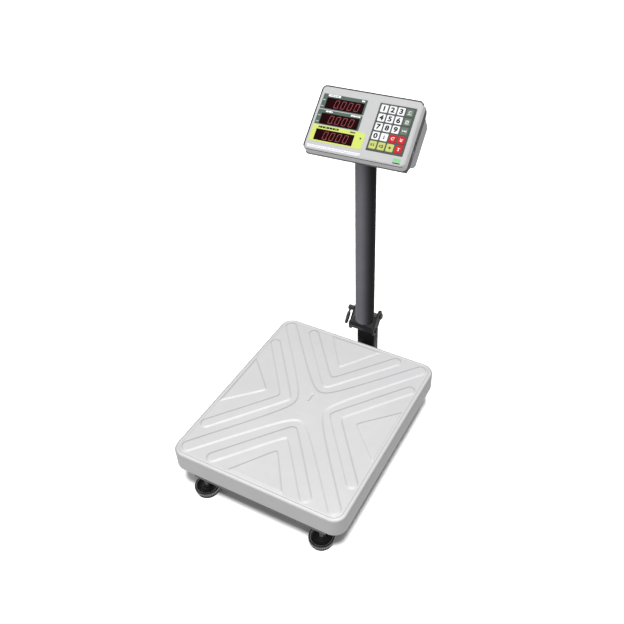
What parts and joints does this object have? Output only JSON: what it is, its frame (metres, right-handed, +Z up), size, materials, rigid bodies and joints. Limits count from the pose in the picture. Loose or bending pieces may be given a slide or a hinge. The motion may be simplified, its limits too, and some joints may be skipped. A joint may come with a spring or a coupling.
{
  "type": "folding column platform scale",
  "caption": "Price-computing platform scale: embossed steel platter on levelling feet, folding round column with clamp lever, sloping head with three readouts and a keypad.",
  "frame": {"origin": "centre of the overall footprint on the floor", "axes": "+Z up along the column, front of the scale towards -Y, +X to the operator's right"},
  "size_m": [0.41, 0.5968, 0.7442],
  "materials": {
    "stainless": "satin pressed stainless",
    "black_paint": "semi-gloss black powder coat",
    "tube_paint": "satin dark grey powder coat",
    "zinc": "zinc plated",
    "alu": "milled",
    "frame_paint": "matt grey paint",
    "rubber": "matt",
    "foot_black": "matt black moulding",
    "case_light": "light grey moulded case",
    "case_dark": "grey moulded case",
    "black_plastic": "satin black moulding",
    "window_red": "dark red tinted acrylic",
    "film": "printed film",
    "keypad": "printed film on plate",
    "key_white": "satin white",
    "key_grey": "satin grey green",
    "key_red": "satin red",
    "key_yellow": "satin yellow green",
    "pcb": "green circuit board",
    "battery": "battery case"
  },
  "bodies": {
    "platform": {"base_frame": "frame_paint", "load_frame": "frame_paint", "load_cell": "alu", "cell_spacer_lower": "zinc", "cell_spacer_upper": "zinc", "post": "black_paint", "hinge_bracket": "black_paint", "hinge_pin": "zinc", "clamp_nut": "zinc", "pan_buffer_front_left": "rubber", "pan_buffer_front_right": "rubber", "pan_buffer_rear_left": "rubber", "pan_buffer_rear_right": "rubber"},
    "pan": {"platter_pan": "stainless"},
    "column": {"column_knuckle": "black_paint", "column_tube": "tube_paint"},
    "head": {"head_collar": "black_plastic", "front_shell": "case_light", "rear_shell": "case_dark", "display_window_upper": "window_red", "display_window_middle": "window_red", "display_window_lower": "window_red", "display_overlay": "film", "keypad_plate": "keypad", "key_board": "pcb", "display_board": "pcb", "battery": "battery", "switch_housing": "black_plastic", "charge_inlet": "black_plastic"},
    "clamp": {"clamp_screw": "zinc", "clamp_lever": "black_plastic"},
    "rocker": {"power_rocker": "black_plastic"},
    "sole_front_left": {"foot_sole_front_left": "rubber"},
    "wheel_front_left": {"foot_wheel_front_left": "foot_black"},
    "sole_front_right": {"foot_sole_front_right": "rubber"},
    "wheel_front_right": {"foot_wheel_front_right": "foot_black"},
    "sole_rear_left": {"foot_sole_rear_left": "rubber"},
    "wheel_rear_left": {"foot_wheel_rear_left": "foot_black"},
    "sole_rear_right": {"foot_sole_rear_right": "rubber"},
    "wheel_rear_right": {"foot_wheel_rear_right": "foot_black"},
    "key_1": {"key_1": "key_white"},
    "key_2": {"key_2": "key_white"},
    "key_3": {"key_3": "key_white"},
    "key_unit_price": {"key_unit_price": "key_grey"},
    "key_4": {"key_4": "key_white"},
    "key_5": {"key_5": "key_white"},
    "key_6": {"key_6": "key_white"},
    "key_memory": {"key_memory": "key_grey"},
    "key_7": {"key_7": "key_white"},
    "key_8": {"key_8": "key_white"},
    "key_9": {"key_9": "key_white"},
    "key_recall": {"key_recall": "key_grey"},
    "key_0": {"key_0": "key_white"},
    "key_point": {"key_point": "key_white"},
    "key_clear": {"key_clear": "key_red"},
    "key_zero": {"key_zero": "key_red"},
    "key_store_1": {"key_store_1": "key_yellow"},
    "key_store_2": {"key_store_2": "key_yellow"},
    "key_add": {"key_add": "key_yellow"},
    "key_tare": {"key_tare": "key_red"}
  },
  "joints": [
    {"name": "column_fold", "type": "hinge", "parent": "platform", "child": "column", "pos_m": [0, 0.21062, 0.1616], "axis": [-1, 0, 0], "range_deg": [-82, 0]},
    {"name": "platter_lift", "type": "slide", "parent": "platform", "child": "pan", "axis": [0, 0, 1], "range_m": [0, 0.08]},
    {"name": "head_swivel", "type": "hinge", "parent": "column", "child": "head", "pos_m": [0, 0.21942, 0.7017], "axis": [0, 0, 1], "range_deg": [-15, 15]},
    {"name": "clamp_turn", "type": "hinge", "parent": "platform", "child": "clamp", "pos_m": [0, 0.23362, 0.1896], "axis": [1, 0, 0], "range_deg": [0, 150]},
    {"name": "power_rock", "type": "hinge", "parent": "head", "child": "rocker", "pos_m": [0.10843, 0.20293, 0.66034], "axis": [-0.0478, 0.6069, -0.7934], "range_deg": [0, 14]},
    {"name": "foot_height_front_left", "type": "slide", "parent": "platform", "child": "sole_front_left", "axis": [0, 0, -1], "range_m": [0, 0.0121]},
    {"name": "foot_turn_front_left", "type": "hinge", "parent": "sole_front_left", "child": "wheel_front_left", "pos_m": [-0.144, -0.27038, 0.01], "axis": [0, 0, 1], "range_deg": [0, 2880]},
    {"name": "foot_height_front_right", "type": "slide", "parent": "platform", "child": "sole_front_right", "axis": [0, 0, -1], "range_m": [0, 0.0121]},
    {"name": "foot_turn_front_right", "type": "hinge", "parent": "sole_front_right", "child": "wheel_front_right", "pos_m": [0.144, -0.27038, 0.01], "axis": [0, 0, 1], "range_deg": [0, 2880]},
    {"name": "foot_height_rear_left", "type": "slide", "parent": "platform", "child": "sole_rear_left", "axis": [0, 0, -1], "range_m": [0, 0.0121]},
    {"name": "foot_turn_rear_left", "type": "hinge", "parent": "sole_rear_left", "child": "wheel_rear_left", "pos_m": [-0.144, 0.15962, 0.01], "axis": [0, 0, 1], "range_deg": [0, 2880]},
    {"name": "foot_height_rear_right", "type": "slide", "parent": "platform", "child": "sole_rear_right", "axis": [0, 0, -1], "range_m": [0, 0.0121]},
    {"name": "foot_turn_rear_right", "type": "hinge", "parent": "sole_rear_right", "child": "wheel_rear_right", "pos_m": [0.144, 0.15962, 0.01], "axis": [0, 0, 1], "range_deg": [0, 2880]},
    {"name": "press_key_1", "type": "slide", "parent": "head", "child": "key_1", "axis": [-0.0478, 0.6069, -0.7934], "range_m": [0, 0.0008], "stiffness_N_per_m": 500, "springref_m": -0.001},
    {"name": "press_key_2", "type": "slide", "parent": "head", "child": "key_2", "axis": [-0.0478, 0.6069, -0.7934], "range_m": [0, 0.0008], "stiffness_N_per_m": 500, "springref_m": -0.001},
    {"name": "press_key_3", "type": "slide", "parent": "head", "child": "key_3", "axis": [-0.0478, 0.6069, -0.7934], "range_m": [0, 0.0008], "stiffness_N_per_m": 500, "springref_m": -0.001},
    {"name": "press_key_unit_price", "type": "slide", "parent": "head", "child": "key_unit_price", "axis": [-0.0478, 0.6069, -0.7934], "range_m": [0, 0.0008], "stiffness_N_per_m": 500, "springref_m": -0.001},
    {"name": "press_key_4", "type": "slide", "parent": "head", "child": "key_4", "axis": [-0.0478, 0.6069, -0.7934], "range_m": [0, 0.0008], "stiffness_N_per_m": 500, "springref_m": -0.001},
    {"name": "press_key_5", "type": "slide", "parent": "head", "child": "key_5", "axis": [-0.0478, 0.6069, -0.7934], "range_m": [0, 0.0008], "stiffness_N_per_m": 500, "springref_m": -0.001},
    {"name": "press_key_6", "type": "slide", "parent": "head", "child": "key_6", "axis": [-0.0478, 0.6069, -0.7934], "range_m": [0, 0.0008], "stiffness_N_per_m": 500, "springref_m": -0.001},
    {"name": "press_key_memory", "type": "slide", "parent": "head", "child": "key_memory", "axis": [-0.0478, 0.6069, -0.7934], "range_m": [0, 0.0008], "stiffness_N_per_m": 500, "springref_m": -0.001},
    {"name": "press_key_7", "type": "slide", "parent": "head", "child": "key_7", "axis": [-0.0478, 0.6069, -0.7934], "range_m": [0, 0.0008], "stiffness_N_per_m": 500, "springref_m": -0.001},
    {"name": "press_key_8", "type": "slide", "parent": "head", "child": "key_8", "axis": [-0.0478, 0.6069, -0.7934], "range_m": [0, 0.0008], "stiffness_N_per_m": 500, "springref_m": -0.001},
    {"name": "press_key_9", "type": "slide", "parent": "head", "child": "key_9", "axis": [-0.0478, 0.6069, -0.7934], "range_m": [0, 0.0008], "stiffness_N_per_m": 500, "springref_m": -0.001},
    {"name": "press_key_recall", "type": "slide", "parent": "head", "child": "key_recall", "axis": [-0.0478, 0.6069, -0.7934], "range_m": [0, 0.0008], "stiffness_N_per_m": 500, "springref_m": -0.001},
    {"name": "press_key_0", "type": "slide", "parent": "head", "child": "key_0", "axis": [-0.0478, 0.6069, -0.7934], "range_m": [0, 0.0008], "stiffness_N_per_m": 500, "springref_m": -0.001},
    {"name": "press_key_point", "type": "slide", "parent": "head", "child": "key_point", "axis": [-0.0478, 0.6069, -0.7934], "range_m": [0, 0.0008], "stiffness_N_per_m": 500, "springref_m": -0.001},
    {"name": "press_key_clear", "type": "slide", "parent": "head", "child": "key_clear", "axis": [-0.0478, 0.6069, -0.7934], "range_m": [0, 0.0008], "stiffness_N_per_m": 500, "springref_m": -0.001},
    {"name": "press_key_zero", "type": "slide", "parent": "head", "child": "key_zero", "axis": [-0.0478, 0.6069, -0.7934], "range_m": [0, 0.0008], "stiffness_N_per_m": 500, "springref_m": -0.001},
    {"name": "press_key_store_1", "type": "slide", "parent": "head", "child": "key_store_1", "axis": [-0.0478, 0.6069, -0.7934], "range_m": [0, 0.0008], "stiffness_N_per_m": 500, "springref_m": -0.001},
    {"name": "press_key_store_2", "type": "slide", "parent": "head", "child": "key_store_2", "axis": [-0.0478, 0.6069, -0.7934], "range_m": [0, 0.0008], "stiffness_N_per_m": 500, "springref_m": -0.001},
    {"name": "press_key_add", "type": "slide", "parent": "head", "child": "key_add", "axis": [-0.0478, 0.6069, -0.7934], "range_m": [0, 0.0008], "stiffness_N_per_m": 500, "springref_m": -0.001},
    {"name": "press_key_tare", "type": "slide", "parent": "head", "child": "key_tare", "axis": [-0.0478, 0.6069, -0.7934], "range_m": [0, 0.0008], "stiffness_N_per_m": 500, "springref_m": -0.001}
  ],
  "couplings": [
    {"joint": "foot_height_front_left", "follows": "foot_turn_front_left", "m_per_rad": 0.00023873},
    {"joint": "foot_height_front_right", "follows": "foot_turn_front_right", "m_per_rad": 0.00023873},
    {"joint": "foot_height_rear_left", "follows": "foot_turn_rear_left", "m_per_rad": 0.00023873},
    {"joint": "foot_height_rear_right", "follows": "foot_turn_rear_right", "m_per_rad": 0.00023873}
  ]
}
